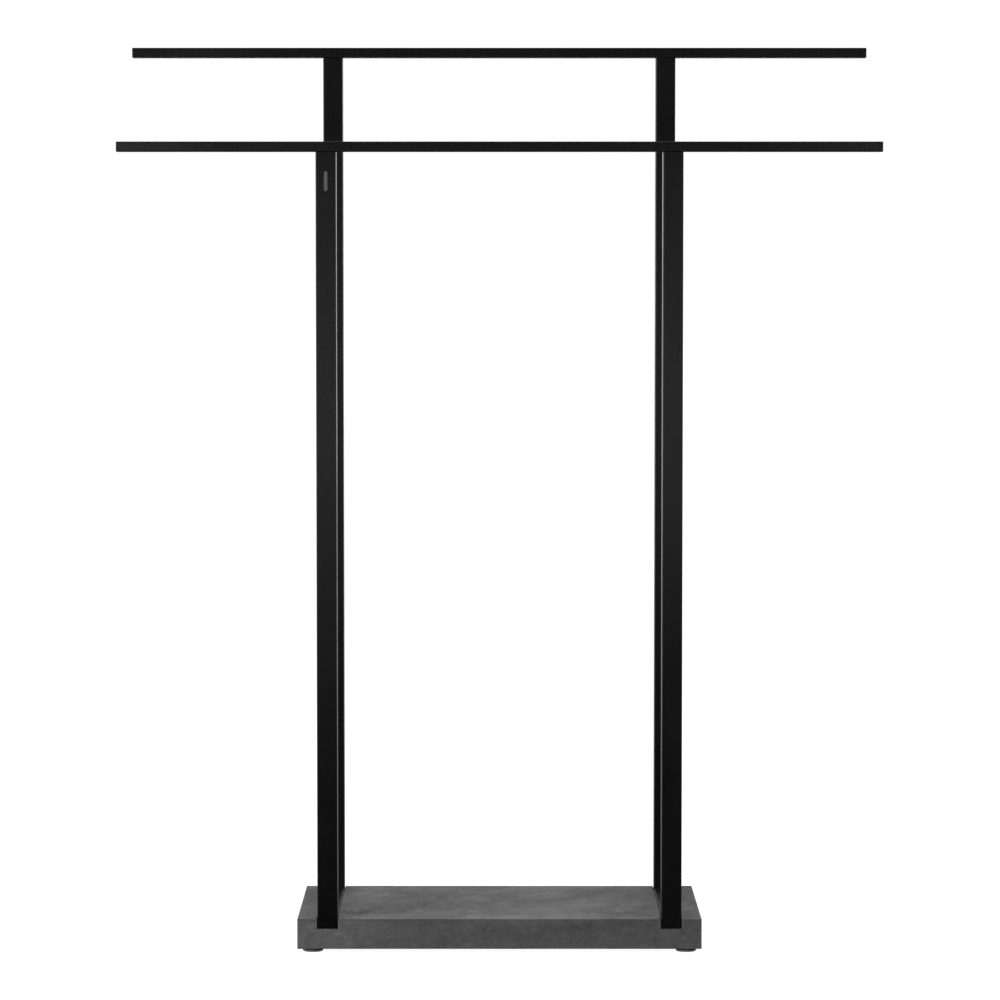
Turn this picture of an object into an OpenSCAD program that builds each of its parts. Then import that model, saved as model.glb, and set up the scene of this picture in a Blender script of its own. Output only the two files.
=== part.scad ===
// Free-standing two-rail clothes stand: a square-section steel frame let into a concrete slab.
// Origin at the middle of the footprint, on the floor. +X along the rails, -Y towards the front, +Z up.

/* [Stand] */
// Overall height, from the floor to the top of the rear rail
stand_height = 900; // [600:10:1200]
// How far the front rail lies below the rear rail
rail_step = 100; // [40:5:250]
// Length of both rails
rail_length = 750; // [640:10:1000]

/* [Frame section] */
// Width of the uprights and sills, seen from the front
bar_width = 20; // [18:1:24]
// Depth of the uprights and rails, front to back
bar_depth = 20; // [18:1:24]
// Height of the rails and sills
rail_thickness = 10; // [8:1:11]
// Wall of the uprights and rails
tube_wall = 1.5; // [1:0.25:2]
// Outer corner radius of the uprights, rails and sills
tube_corner = 1.2; // [0.8:0.1:2]

/* [Base slab] */
// Length of the slab, along the rails
slab_length = 400; // [320:10:560]
// Depth of the slab, front to back
slab_depth = 200; // [160:5:300]
// Thickness of the slab
slab_thickness = 30; // [30:1:60]
// Bevel on all edges of the slab
slab_bevel = 0.6; // [0.4:0.1:2]
// Slab left outside each upright
upright_inset = 20; // [14:1:50]
// How far the uprights stand back from the slab's front and rear faces
face_setback = 1; // [0.5:0.5:6]
// Gap between each side of a sill and its groove
groove_gap = 0.35; // [0.2:0.05:1.5]

/* [Feet] */
// Height of the feet, with their adhesive discs
foot_height = 4; // [3:0.5:10]
// Diameter of the feet
foot_diameter = 22; // [16:1:24]
// Middle of a foot, measured in from both slab edges
foot_inset = 15; // [14:1:20]

/* [Hidden] */
// Fine enough for the small round parts; every value above 12 gives true circles.
$fn = 48;

// Levels, from the floor up
slab_bottom = foot_height;
slab_top = slab_bottom + slab_thickness;
groove_floor = slab_top - rail_thickness;
rear_rail_bottom = stand_height - rail_thickness;
front_rail_bottom = rear_rail_bottom - rail_step;

// Middles of the uprights and of the two rails
upright_x = slab_length / 2 - upright_inset - bar_width / 2;
upright_y = slab_depth / 2 - face_setback - bar_depth / 2;
sill_length = 2 * upright_y - bar_depth;
groove_width = bar_width + 2 * groove_gap;

// Inside of the tubes
inner_corner = 0.4;
tube_inner_width = bar_width - 2 * tube_wall;
tube_inner_depth = bar_depth - 2 * tube_wall;
rail_inner_height = rail_thickness - 2 * tube_wall;
cap_thickness = 1.5;
rail_tube_length = rail_length - 2 * cap_thickness;

// M5 countersunk rail screws, in tapped plugs at the tops of the uprights
rail_screw_radius = 2.5;
rail_screw_head_radius = 5;
rail_screw_head_height = 2.5;
rail_screw_grip = 10;
rail_screw_length = rail_thickness + rail_screw_grip;
rail_screw_recess = 0.2;
rail_hex_key = 3;
rail_hex_depth = 1.6;
plug_length = 15;
spacer_length = 24;

// M6 base screws, up through the slab into the sills
base_screw_radius = 3;
base_screw_head_radius = 5;
base_screw_head_height = 6;
base_hex_key = 5;
base_hex_depth = 3;
base_screw_y = slab_depth / 4;
washer_radius = 6;
washer_bore_radius = 3.2;
washer_thickness = 1.6;
web_thickness = 11;
recess_radius = 7.5;
recess_depth = slab_thickness - rail_thickness - web_thickness;
slab_bore_radius = 3.5;
sill_hole_roof = 1.5;
sill_hole_depth = rail_thickness - sill_hole_roof;
sill_tip_gap = 1.1;
base_screw_length = washer_thickness + web_thickness + sill_hole_depth - sill_tip_gap;

// Clearances
thread_gap = 0.05;
screw_gap = 0.25;
cut_margin = 1;

// Feet
adhesive_thickness = 0.3;
adhesive_margin = 1.5;
adhesive_radius = foot_diameter / 2 - adhesive_margin;
foot_body_height = foot_height - adhesive_thickness;
foot_edge = 1.2;
foot_taper = 0.8;
foot_x = slab_length / 2 - foot_inset;
foot_y = slab_depth / 2 - foot_inset;

// Blank strip near the top of the left front upright
strip_width = 3.4;
strip_height = 19.5;
strip_thickness = 0.3;
strip_drop = 19;

// Colours
black_coat = [0.10, 0.10, 0.105];
concrete_grey = [0.38, 0.38, 0.39];
zinc_grey = [0.72, 0.73, 0.75];
foot_grey = [0.58, 0.58, 0.58];
film_white = [0.90, 0.90, 0.88];
strip_grey = [0.70, 0.71, 0.72];

// ---- Shared shapes ----

// A rectangle with rounded corners, centred on the origin.
module rounded_rectangle(width, depth, radius) {
    square([width - 2 * radius, depth], center = true);
    square([width, depth - 2 * radius], center = true);
    for (x = [-1, 1], y = [-1, 1])
        translate([x * (width / 2 - radius), y * (depth / 2 - radius)])
            circle(radius);
}

// The outline of a tube's wall.
module tube_section(width, depth) {
    difference() {
        rounded_rectangle(width, depth, tube_corner);
        rounded_rectangle(width - 2 * tube_wall, depth - 2 * tube_wall, inner_corner);
    }
}

// A rectangle with its four corners cut off at 45 degrees, centred on the origin.
module bevelled_rectangle(width, height, bevel) {
    polygon([
        [-width / 2 + bevel, -height / 2], [width / 2 - bevel, -height / 2],
        [width / 2, -height / 2 + bevel], [width / 2, height / 2 - bevel],
        [width / 2 - bevel, height / 2], [-width / 2 + bevel, height / 2],
        [-width / 2, height / 2 - bevel], [-width / 2, -height / 2 + bevel]
    ]);
}

// Lays a profile drawn in X and Y across the rail's section and runs it along X, centred on the origin.
module along_rail(length) {
    rotate([90, 0, 90])
        linear_extrude(height = length, center = true)
            children();
}

// Both upright positions along a rail.
module at_both_uprights() {
    for (side = [-1, 1])
        translate([side * upright_x, 0, 0])
            children();
}

// A countersunk screw hole for a rail screw, its head recess opening upwards at height zero.
module countersunk_hole(depth) {
    radius = rail_screw_radius + screw_gap;
    head_radius = rail_screw_head_radius + screw_gap;
    translate([0, 0, -depth - cut_margin])
        cylinder(h = depth + 2 * cut_margin, r = radius);
    translate([0, 0, -rail_screw_recess - rail_screw_head_height])
        cylinder(h = rail_screw_head_height, r1 = radius, r2 = head_radius);
    translate([0, 0, -rail_screw_recess])
        cylinder(h = rail_screw_recess + cut_margin, r = head_radius);
}

// ---- Base ----

module slab_block() {
    intersection() {
        linear_extrude(height = slab_thickness, center = true)
            bevelled_rectangle(slab_length, slab_depth, slab_bevel);
        rotate([90, 0, 90])
            linear_extrude(height = slab_length, center = true)
                bevelled_rectangle(slab_depth, slab_thickness, slab_bevel);
        rotate([90, 0, 0])
            linear_extrude(height = slab_depth, center = true)
                bevelled_rectangle(slab_length, slab_thickness, slab_bevel);
    }
}

module base_slab() {
    color(concrete_grey)
        difference() {
            translate([0, 0, slab_bottom + slab_thickness / 2])
                slab_block();
            for (side = [-1, 1])
                translate([
                    side * upright_x - groove_width / 2,
                    -slab_depth / 2 - cut_margin,
                    groove_floor
                ])
                    cube([groove_width, slab_depth + 2 * cut_margin, rail_thickness + cut_margin]);
            for (side = [-1, 1], end = [-1, 1])
                translate([side * upright_x, end * base_screw_y, slab_bottom]) {
                    translate([0, 0, -cut_margin])
                        cylinder(h = recess_depth + cut_margin, r = recess_radius);
                    cylinder(h = slab_thickness, r = slab_bore_radius);
                }
        }
}

// A solid bar with two tapped blind holes in its underside.
module sill(side) {
    color(black_coat)
        translate([side * upright_x, 0, groove_floor])
            difference() {
                translate([0, 0, rail_thickness / 2])
                    rotate([90, 0, 0])
                        linear_extrude(height = sill_length, center = true)
                            rounded_rectangle(bar_width, rail_thickness, tube_corner);
                for (end = [-1, 1])
                    translate([0, end * base_screw_y, -cut_margin])
                        cylinder(h = sill_hole_depth + cut_margin, r = base_screw_radius + thread_gap);
            }
}

module base_screw() {
    difference() {
        union() {
            translate([0, 0, -base_screw_head_height])
                cylinder(h = base_screw_head_height, r = base_screw_head_radius);
            cylinder(h = base_screw_length, r = base_screw_radius);
        }
        translate([0, 0, -base_screw_head_height - cut_margin])
            cylinder(h = base_hex_depth + cut_margin, d = base_hex_key / cos(30), $fn = 6);
    }
}

module base_screws() {
    color(zinc_grey)
        for (side = [-1, 1], end = [-1, 1])
            translate([
                side * upright_x,
                end * base_screw_y,
                slab_bottom + recess_depth - washer_thickness
            ])
                base_screw();
}

module base_washers() {
    color(zinc_grey)
        for (side = [-1, 1], end = [-1, 1])
            translate([
                side * upright_x,
                end * base_screw_y,
                slab_bottom + recess_depth - washer_thickness
            ])
                difference() {
                    cylinder(h = washer_thickness, r = washer_radius);
                    translate([0, 0, -cut_margin])
                        cylinder(h = washer_thickness + 2 * cut_margin, r = washer_bore_radius);
                }
}

// ---- Feet ----

module foot(side, end) {
    radius = foot_diameter / 2;
    color(foot_grey)
        translate([side * foot_x, end * foot_y, 0])
            rotate_extrude()
                polygon([
                    [0, 0],
                    [radius - foot_taper - foot_edge, 0],
                    [radius - foot_taper, foot_edge],
                    [radius, foot_body_height],
                    [0, foot_body_height]
                ]);
}

module foot_adhesive_discs() {
    color(film_white)
        for (side = [-1, 1], end = [-1, 1])
            translate([side * foot_x, end * foot_y, foot_body_height])
                cylinder(h = adhesive_thickness, r = adhesive_radius);
}

// ---- Uprights ----

// An open-ended tube from the groove floor to the underside of its rail.
module upright(side, end, top) {
    color(black_coat)
        translate([side * upright_x, end * upright_y, groove_floor])
            linear_extrude(height = top - groove_floor)
                tube_section(bar_width, bar_depth);
}

// A tapped block that closes the top of an upright.
module plug(side, end, top) {
    color(zinc_grey)
        translate([side * upright_x, end * upright_y, top - plug_length])
            difference() {
                linear_extrude(height = plug_length)
                    rounded_rectangle(tube_inner_width, tube_inner_depth, inner_corner);
                translate([0, 0, -cut_margin])
                    cylinder(h = plug_length + 2 * cut_margin, r = rail_screw_radius + thread_gap);
            }
}

// ---- Rails ----

module rail(end, bottom) {
    color(black_coat)
        translate([0, end * upright_y, bottom + rail_thickness / 2])
            difference() {
                along_rail(rail_tube_length)
                    tube_section(bar_depth, rail_thickness);
                at_both_uprights()
                    translate([0, 0, rail_thickness / 2])
                        countersunk_hole(rail_thickness);
            }
}

// A flat plate that closes one end of a rail.
module rail_cap(side, end, bottom) {
    color(black_coat)
        translate([
            side * (rail_length - cap_thickness) / 2,
            end * upright_y,
            bottom + rail_thickness / 2
        ])
            along_rail(cap_thickness)
                rounded_rectangle(bar_depth, rail_thickness, tube_corner);
}

// A block inside a rail that carries the screw head and keeps the tube from being crushed.
module rail_spacer(side, end, bottom) {
    color(zinc_grey)
        translate([side * upright_x, end * upright_y, bottom + rail_thickness / 2])
            difference() {
                along_rail(spacer_length)
                    rounded_rectangle(tube_inner_depth, rail_inner_height, inner_corner);
                translate([0, 0, rail_thickness / 2])
                    countersunk_hole(rail_thickness);
            }
}

module rail_screw() {
    difference() {
        union() {
            translate([0, 0, -rail_screw_head_height])
                cylinder(
                    h = rail_screw_head_height,
                    r1 = rail_screw_radius,
                    r2 = rail_screw_head_radius
                );
            translate([0, 0, -rail_screw_length])
                cylinder(h = rail_screw_length - rail_screw_head_height, r = rail_screw_radius);
        }
        translate([0, 0, -rail_hex_depth])
            cylinder(h = rail_hex_depth + cut_margin, d = rail_hex_key / cos(30), $fn = 6);
    }
}

module rail_screws() {
    color(black_coat)
        for (side = [-1, 1], rail = [[-1, front_rail_bottom], [1, rear_rail_bottom]])
            translate([
                side * upright_x,
                rail[0] * upright_y,
                rail[1] + rail_thickness - rail_screw_recess
            ])
                rail_screw();
}

// ---- Blank strip ----

module blank_strip() {
    color(strip_grey)
        translate([-upright_x, -upright_y - bar_depth / 2, front_rail_bottom - strip_drop - strip_height / 2])
            rotate([90, 0, 0])
                linear_extrude(height = strip_thickness) {
                    square([strip_width, strip_height - strip_width], center = true);
                    for (way = [-1, 1])
                        translate([0, way * (strip_height - strip_width) / 2])
                            circle(strip_width / 2);
                }
}

// ---- Nodes ----

base_slab();
sill(-1);  // left_sill
sill(1);  // right_sill
upright(-1, -1, front_rail_bottom);  // left_front_upright
upright(1, -1, front_rail_bottom);  // right_front_upright
upright(-1, 1, rear_rail_bottom);  // left_rear_upright
upright(1, 1, rear_rail_bottom);  // right_rear_upright
rail(-1, front_rail_bottom);  // front_rail
rail(1, rear_rail_bottom);  // rear_rail
rail_cap(-1, -1, front_rail_bottom);  // front_rail_left_cap
rail_cap(1, -1, front_rail_bottom);  // front_rail_right_cap
rail_cap(-1, 1, rear_rail_bottom);  // rear_rail_left_cap
rail_cap(1, 1, rear_rail_bottom);  // rear_rail_right_cap
plug(-1, -1, front_rail_bottom);  // left_front_plug
plug(1, -1, front_rail_bottom);  // right_front_plug
plug(-1, 1, rear_rail_bottom);  // left_rear_plug
plug(1, 1, rear_rail_bottom);  // right_rear_plug
rail_spacer(-1, -1, front_rail_bottom);  // front_rail_left_spacer
rail_spacer(1, -1, front_rail_bottom);  // front_rail_right_spacer
rail_spacer(-1, 1, rear_rail_bottom);  // rear_rail_left_spacer
rail_spacer(1, 1, rear_rail_bottom);  // rear_rail_right_spacer
rail_screws();
base_screws();
base_washers();
foot(-1, -1);  // left_front_foot
foot(1, -1);  // right_front_foot
foot(-1, 1);  // left_rear_foot
foot(1, 1);  // right_rear_foot
foot_adhesive_discs();
blank_strip();
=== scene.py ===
"""Looks for the two-rail clothes stand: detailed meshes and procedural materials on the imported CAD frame.

Everything is in metres in the row frame: +X along the rails, -Y towards the front, +Z up, floor at z = 0.
"""

import math
import random

import bmesh
import bpy
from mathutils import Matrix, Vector, noise


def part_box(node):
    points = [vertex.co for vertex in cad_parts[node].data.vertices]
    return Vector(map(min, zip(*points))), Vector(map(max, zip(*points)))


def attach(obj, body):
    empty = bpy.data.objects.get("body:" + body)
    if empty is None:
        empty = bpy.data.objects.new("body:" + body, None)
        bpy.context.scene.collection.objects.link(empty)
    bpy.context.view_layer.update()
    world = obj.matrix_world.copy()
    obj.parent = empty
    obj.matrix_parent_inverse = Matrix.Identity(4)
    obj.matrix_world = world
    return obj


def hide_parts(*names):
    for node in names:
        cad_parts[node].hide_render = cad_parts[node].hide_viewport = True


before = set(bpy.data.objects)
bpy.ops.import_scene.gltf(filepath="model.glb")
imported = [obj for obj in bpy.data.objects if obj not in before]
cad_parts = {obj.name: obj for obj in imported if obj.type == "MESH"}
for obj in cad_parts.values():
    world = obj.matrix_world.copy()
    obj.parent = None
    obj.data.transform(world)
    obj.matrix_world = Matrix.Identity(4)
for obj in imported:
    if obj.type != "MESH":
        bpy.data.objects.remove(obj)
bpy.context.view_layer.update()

MM = 0.001
TINY = 1e-7
SIDES = ("left", "right")
ENDS = ("front", "rear")

# Sizes that the CAD boxes don't give
TUBE_WALL = 1.5 * MM
BAR_CORNER = 1.2 * MM
INNER_CORNER = 0.4 * MM
GROOVE_GAP = 0.35 * MM
WASHER_RADIUS = 6 * MM

# Steps in each quarter circle of a bar's outline, and the wear of its flats, where its corners have 1
CORNER_STEPS = 5
FLAT_WEAR = 0.35

# How much rougher the coat is along the sills' long edges, where dust settles
DUST_ROUGHNESS = 0.30


# ---------------------------------------------------------------- node helpers


def add_node(tree, kind, settings=None, **inputs):
    """Adds a shader node. Inputs go by name, or as i0, i1 and so on, and a value is a number or a socket."""
    made = tree.nodes.new(kind)
    for key, value in (settings or {}).items():
        setattr(made, key, value)
    for key, value in inputs.items():
        name = key.replace("_", " ")
        socket = made.inputs[name] if name in made.inputs else made.inputs[int(key[1:])]
        if isinstance(value, bpy.types.NodeSocket):
            tree.links.new(value, socket)
        else:
            socket.default_value = value
    return made


def new_material(name):
    material = bpy.data.materials.new(name)
    material.use_nodes = True
    tree = material.node_tree
    return material, tree, tree.nodes["Principled BSDF"]


def place(tree, stretch=(1.0, 1.0, 1.0), turn=0.0, centre=(0.0, 0.0, 0.0)):
    """Object coordinates, in metres in the row frame, measured from centre, turned about Z and stretched."""
    coordinates = add_node(tree, "ShaderNodeTexCoord").outputs["Object"]
    return add_node(
        tree,
        "ShaderNodeMapping",
        {"vector_type": "TEXTURE"},
        Vector=coordinates,
        Location=centre,
        Rotation=(0.0, 0.0, math.radians(turn)),
        Scale=stretch,
    ).outputs["Vector"]


def clouds(tree, vector, scale, detail=3.0, roughness=0.5, distortion=0.0):
    """A noise pattern, as a socket of values about 0.5."""
    return add_node(
        tree,
        "ShaderNodeTexNoise",
        Vector=vector,
        Scale=scale,
        Detail=detail,
        Roughness=roughness,
        Distortion=distortion,
    ).outputs["Fac"]


def span(tree, value, low, high, to_low, to_high):
    """Maps value from low..high to to_low..to_high, clamped."""
    return add_node(
        tree,
        "ShaderNodeMapRange",
        {"clamp": True, "interpolation_type": "SMOOTHSTEP"},
        Value=value,
        From_Min=low,
        From_Max=high,
        To_Min=to_low,
        To_Max=to_high,
    ).outputs["Result"]


def maths(tree, operation, a, b):
    return add_node(tree, "ShaderNodeMath", {"operation": operation}, i0=a, i1=b).outputs[0]


def blend(tree, factor, a, b):
    """Mixes two numbers."""
    return add_node(tree, "ShaderNodeMix", {"data_type": "FLOAT"}, i0=factor, i2=a, i3=b).outputs[0]


def blend_colours(tree, factor, a, b):
    """Mixes two RGBA colours."""
    return add_node(tree, "ShaderNodeMix", {"data_type": "RGBA"}, i0=factor, i6=a, i7=b).outputs[2]


def bump(tree, height, distance, strength=1.0, normal=None):
    made = add_node(tree, "ShaderNodeBump", Height=height, Distance=distance, Strength=strength)
    if normal is not None:
        tree.links.new(normal, made.inputs["Normal"])
    return made.outputs["Normal"]


def attribute(tree, name):
    return add_node(tree, "ShaderNodeAttribute", {"attribute_name": name}).outputs["Fac"]


# ---------------------------------------------------------------- materials


def powder_coat(name):
    """Fine satin black powder coat: faint orange peel, cloudy sheen, a little lighter on rubbed corners."""
    material, tree, shader = new_material(name)
    where = place(tree)
    broad = clouds(tree, where, 9.0, 2.0)
    fine = clouds(tree, where, 240.0, 2.0)
    base = span(tree, broad, 0.35, 0.65, 0.0028, 0.0044)
    rubbed = maths(
        tree,
        "MULTIPLY",
        attribute(tree, "wear"),
        span(tree, clouds(tree, where, 70.0, 4.0, 0.65), 0.50, 0.72, 0.0, 0.6),
    )
    tree.links.new(blend(tree, rubbed, base, 0.012), shader.inputs["Base Color"])
    sheen = maths(
        tree,
        "ADD",
        span(tree, broad, 0.3, 0.7, 0.31, 0.36),
        span(tree, fine, 0.3, 0.7, -0.02, 0.03),
    )
    dusty = maths(tree, "MULTIPLY", attribute(tree, "dust"), DUST_ROUGHNESS)
    tree.links.new(maths(tree, "ADD", sheen, dusty), shader.inputs["Roughness"])
    peel = clouds(tree, where, 1500.0, 2.0, 0.55)
    grain = clouds(tree, where, 4800.0, 1.0)
    height = maths(tree, "ADD", peel, maths(tree, "MULTIPLY", grain, 0.25))
    on_flats = span(tree, attribute(tree, "wear"), 0.40, 0.90, 1.0, 0.15)
    tree.links.new(bump(tree, height, 0.032 * MM, on_flats), shader.inputs["Normal"])
    shader.inputs["IOR"].default_value = 1.48
    shader.inputs["Specular IOR Level"].default_value = 0.42
    return material


# Large clouds in the slab: the middle, the radii, the turn about Z in degrees, and the change in tone
SLAB_CLOUDS = [
    ((0.047, -0.046, 0.034), (0.016, 0.030, 0.012), 20.0, 0.26),
    ((0.030, -0.090, 0.034), (0.085, 0.026, 0.008), 0.0, 0.26),
    ((0.100, 0.016, 0.034), (0.045, 0.007, 0.006), 14.0, 0.22),
    ((0.085, -0.020, 0.034), (0.050, 0.010, 0.006), 20.0, 0.14),
    ((-0.020, 0.062, 0.034), (0.034, 0.026, 0.010), 10.0, 0.14),
    ((0.000, 0.018, 0.034), (0.026, 0.022, 0.010), 0.0, -0.16),
    ((-0.127, 0.028, 0.034), (0.022, 0.055, 0.010), -30.0, 0.16),
    ((-0.147, -0.062, 0.034), (0.020, 0.022, 0.010), 40.0, -0.42),
    ((-0.120, -0.045, 0.034), (0.030, 0.012, 0.010), 40.0, -0.18),
    ((-0.072, 0.030, 0.034), (0.040, 0.050, 0.010), 35.0, -0.12),
    ((0.186, -0.072, 0.034), (0.016, 0.030, 0.010), 0.0, -0.42),
    ((0.192, 0.020, 0.034), (0.022, 0.110, 0.010), 0.0, -0.48),
    ((-0.192, 0.000, 0.034), (0.022, 0.120, 0.010), 0.0, -0.36),
    ((0.130, 0.010, 0.034), (0.055, 0.110, 0.010), 0.0, -0.34),
    ((-0.115, 0.000, 0.034), (0.060, 0.110, 0.010), 0.0, -0.32),
    ((-0.200, -0.100, 0.018), (0.100, 0.040, 0.040), 0.0, 0.38),
    ((0.030, -0.100, 0.020), (0.080, 0.020, 0.012), 0.0, -0.10),
    ((0.090, -0.100, 0.026), (0.100, 0.012, 0.010), 0.0, -0.10),
    ((0.120, 0.100, 0.018), (0.090, 0.030, 0.030), 0.0, 0.14),
    ((-0.060, 0.100, 0.020), (0.060, 0.030, 0.020), 0.0, -0.16),
]


def concrete_tone(tree, wisps, mottle):
    """The broad tones: drift, pale wisps, dark stains and the large clouds. The sides are plainer."""
    drift = clouds(tree, place(tree, (1.2, 2.2, 1.0), -20.0), 22.0, 4.0, 0.55, 0.7)
    facing = add_node(tree, "ShaderNodeNewGeometry").outputs["True Normal"]
    upward = add_node(tree, "ShaderNodeSeparateXYZ", i0=facing).outputs["Z"]
    on_top = span(tree, upward, 0.4, 0.8, 0.25, 1.0)
    tone = blend(
        tree,
        span(tree, upward, 0.4, 0.8, 0.40, 1.0),
        0.166,
        span(tree, drift, 0.32, 0.68, 0.088, 0.160),
    )
    pale = maths(tree, "MULTIPLY", span(tree, wisps, 0.53, 0.72, 0.0, 0.66), on_top)
    dark = maths(tree, "MULTIPLY", span(tree, wisps, 0.47, 0.28, 0.0, 0.66), on_top)
    tone = blend(tree, pale, tone, 0.215)
    tone = blend(tree, dark, tone, 0.085)
    tone = blend(tree, span(tree, mottle, 0.52, 0.70, 0.0, 0.62), tone, 0.215)
    tone = blend(tree, span(tree, mottle, 0.48, 0.30, 0.0, 0.62), tone, 0.100)
    ragged = maths(tree, "MULTIPLY", maths(tree, "SUBTRACT", wisps, 0.5), 1.6)
    for centre, radii, turn, change in SLAB_CLOUDS:
        reach = add_node(
            tree,
            "ShaderNodeVectorMath",
            {"operation": "LENGTH"},
            i0=place(tree, radii, turn, centre),
        ).outputs["Value"]
        cloud = span(tree, maths(tree, "ADD", reach, ragged), 0.1, 1.2, change, 0.0)
        tone = maths(tree, "MULTIPLY", tone, maths(tree, "ADD", cloud, 1.0))
    return tone


def concrete_wear_and_painted_light(tree, tone):
    """The tone with rubbed edges paler, partly wear and partly a painted highlight, and painted shade under
    the upper rims and in the air holes.
    """
    patches = span(tree, clouds(tree, place(tree), 26.0, 4.0, 0.65), 0.42, 0.64, 0.05, 0.70)
    # Paler edges: partly real wear, partly a painted highlight on the arris
    wear_and_highlight = maths(tree, "MULTIPLY", attribute(tree, "wear"), patches)
    tone = blend(tree, wear_and_highlight, tone, 0.290)
    # Painted shade: a darker band just under the upper edges
    tone = blend(tree, maths(tree, "MULTIPLY", attribute(tree, "rim"), 0.55), tone, 0.095)
    # Painted shade: the air holes darker the deeper they go
    return blend(tree, attribute(tree, "pore"), tone, 0.062)


def concrete_relief(tree, grain, sand):
    """The fine relief: trowel marks, pin holes and the grain itself."""
    trowel = clouds(tree, place(tree, (4.0, 1.0, 1.0), 30.0), 160.0, 3.0, 0.6)
    low = bump(tree, trowel, 0.12 * MM, 0.5)
    pin_holes = add_node(
        tree, "ShaderNodeTexVoronoi", {"feature": "F1"}, Vector=place(tree), Scale=420.0
    ).outputs["Distance"]
    middle = bump(tree, span(tree, pin_holes, 0.0, 0.16, 0.0, 1.0), 0.14 * MM, 0.7, low)
    rough = maths(tree, "ADD", grain, maths(tree, "MULTIPLY", sand, 0.35))
    return bump(tree, rough, 0.09 * MM, 0.75, middle)


def concrete(name):
    """Smooth-cast grey concrete, cloudy and finely grained, with rubbed edges that are partly a painted
    highlight, and painted shade under the upper rims and in the air holes.
    """
    material, tree, shader = new_material(name)
    wisps = clouds(tree, place(tree, (1.3, 2.6, 1.0), -24.0), 50.0, 4.0, 0.58, 0.8)
    mottle = clouds(tree, place(tree, (1.5, 2.4, 1.0), -10.0), 190.0, 4.0, 0.6, 0.3)
    grain = clouds(tree, place(tree), 900.0, 3.0, 0.6)
    sand = clouds(tree, place(tree), 2800.0, 2.0, 0.6)
    tone = concrete_tone(tree, wisps, mottle)
    tone = blend(tree, span(tree, grain, 0.53, 0.72, 0.0, 0.42), tone, 0.090)
    tone = blend(tree, span(tree, grain, 0.47, 0.30, 0.0, 0.26), tone, 0.290)
    tone = maths(tree, "MULTIPLY", tone, span(tree, sand, 0.30, 0.70, 0.86, 1.14))
    tree.links.new(concrete_wear_and_painted_light(tree, tone), shader.inputs["Base Color"])
    tree.links.new(span(tree, mottle, 0.3, 0.7, 0.60, 0.80), shader.inputs["Roughness"])
    tree.links.new(concrete_relief(tree, grain, sand), shader.inputs["Normal"])
    shader.inputs["Specular IOR Level"].default_value = 0.24
    return material


def zinc(name):
    """Zinc-plated steel: a grey metal with a fine spangle and faint scratches."""
    material, tree, shader = new_material(name)
    spangle = clouds(tree, place(tree), 420.0, 3.0, 0.6)
    colour = blend_colours(
        tree,
        span(tree, spangle, 0.35, 0.65, 0.0, 1.0),
        (0.47, 0.48, 0.49, 1.0),
        (0.66, 0.66, 0.65, 1.0),
    )
    tree.links.new(colour, shader.inputs["Base Color"])
    shader.inputs["Metallic"].default_value = 1.0
    tree.links.new(span(tree, spangle, 0.3, 0.7, 0.26, 0.42), shader.inputs["Roughness"])
    scratches = clouds(tree, place(tree, (14.0, 1.0, 1.0), 25.0), 5000.0, 2.0)
    tree.links.new(bump(tree, scratches, 0.01 * MM, 0.6), shader.inputs["Normal"])
    return material


def black_oxide(name):
    """Black oxide on screw steel: satin, with pale rubbed edges."""
    material, tree, shader = new_material(name)
    patches = clouds(tree, place(tree), 700.0, 3.0, 0.6)
    base = span(tree, patches, 0.35, 0.65, 0.010, 0.022)
    rubbed = maths(
        tree, "MULTIPLY", attribute(tree, "wear"), span(tree, patches, 0.42, 0.62, 0.0, 0.6)
    )
    tree.links.new(blend(tree, rubbed, base, 0.12), shader.inputs["Base Color"])
    shader.inputs["Metallic"].default_value = 0.6
    tree.links.new(span(tree, patches, 0.3, 0.7, 0.30, 0.46), shader.inputs["Roughness"])
    tree.links.new(bump(tree, patches, 0.012 * MM, 0.7), shader.inputs["Normal"])
    return material


def foot_rubber(name):
    """Grey rubber with painted shade, darker towards the slab where the slab shades it, with dust in its
    skin.
    """
    material, tree, shader = new_material(name)
    where = place(tree)
    dust = clouds(tree, where, 600.0, 4.0, 0.65)
    smear = clouds(tree, where, 110.0, 3.0, 0.6)
    height = add_node(tree, "ShaderNodeSeparateXYZ", i0=where).outputs["Z"]
    # Painted shade: the colour darkens from 1.8 mm up to 3.1 mm, towards the slab
    base = span(tree, height, 1.8 * MM, 3.1 * MM, 0.46, 0.05)
    change = maths(
        tree,
        "ADD",
        span(tree, dust, 0.4, 0.7, 0.92, 1.06),
        span(tree, smear, 0.5, 0.7, 0.0, -0.16),
    )
    tree.links.new(maths(tree, "MULTIPLY", base, change), shader.inputs["Base Color"])
    tree.links.new(span(tree, dust, 0.3, 0.7, 0.38, 0.54), shader.inputs["Roughness"])
    tree.links.new(bump(tree, dust, 0.02 * MM, 0.6), shader.inputs["Normal"])
    return material


def adhesive_film(name):
    """Clear double-sided film, seen only edge on."""
    material, tree, shader = new_material(name)
    streaks = clouds(tree, place(tree), 900.0, 2.0)
    tree.links.new(span(tree, streaks, 0.35, 0.65, 0.40, 0.54), shader.inputs["Base Color"])
    tree.links.new(span(tree, streaks, 0.3, 0.7, 0.25, 0.4), shader.inputs["Roughness"])
    tree.links.new(bump(tree, streaks, 0.01 * MM, 0.5), shader.inputs["Normal"])
    return material


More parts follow.
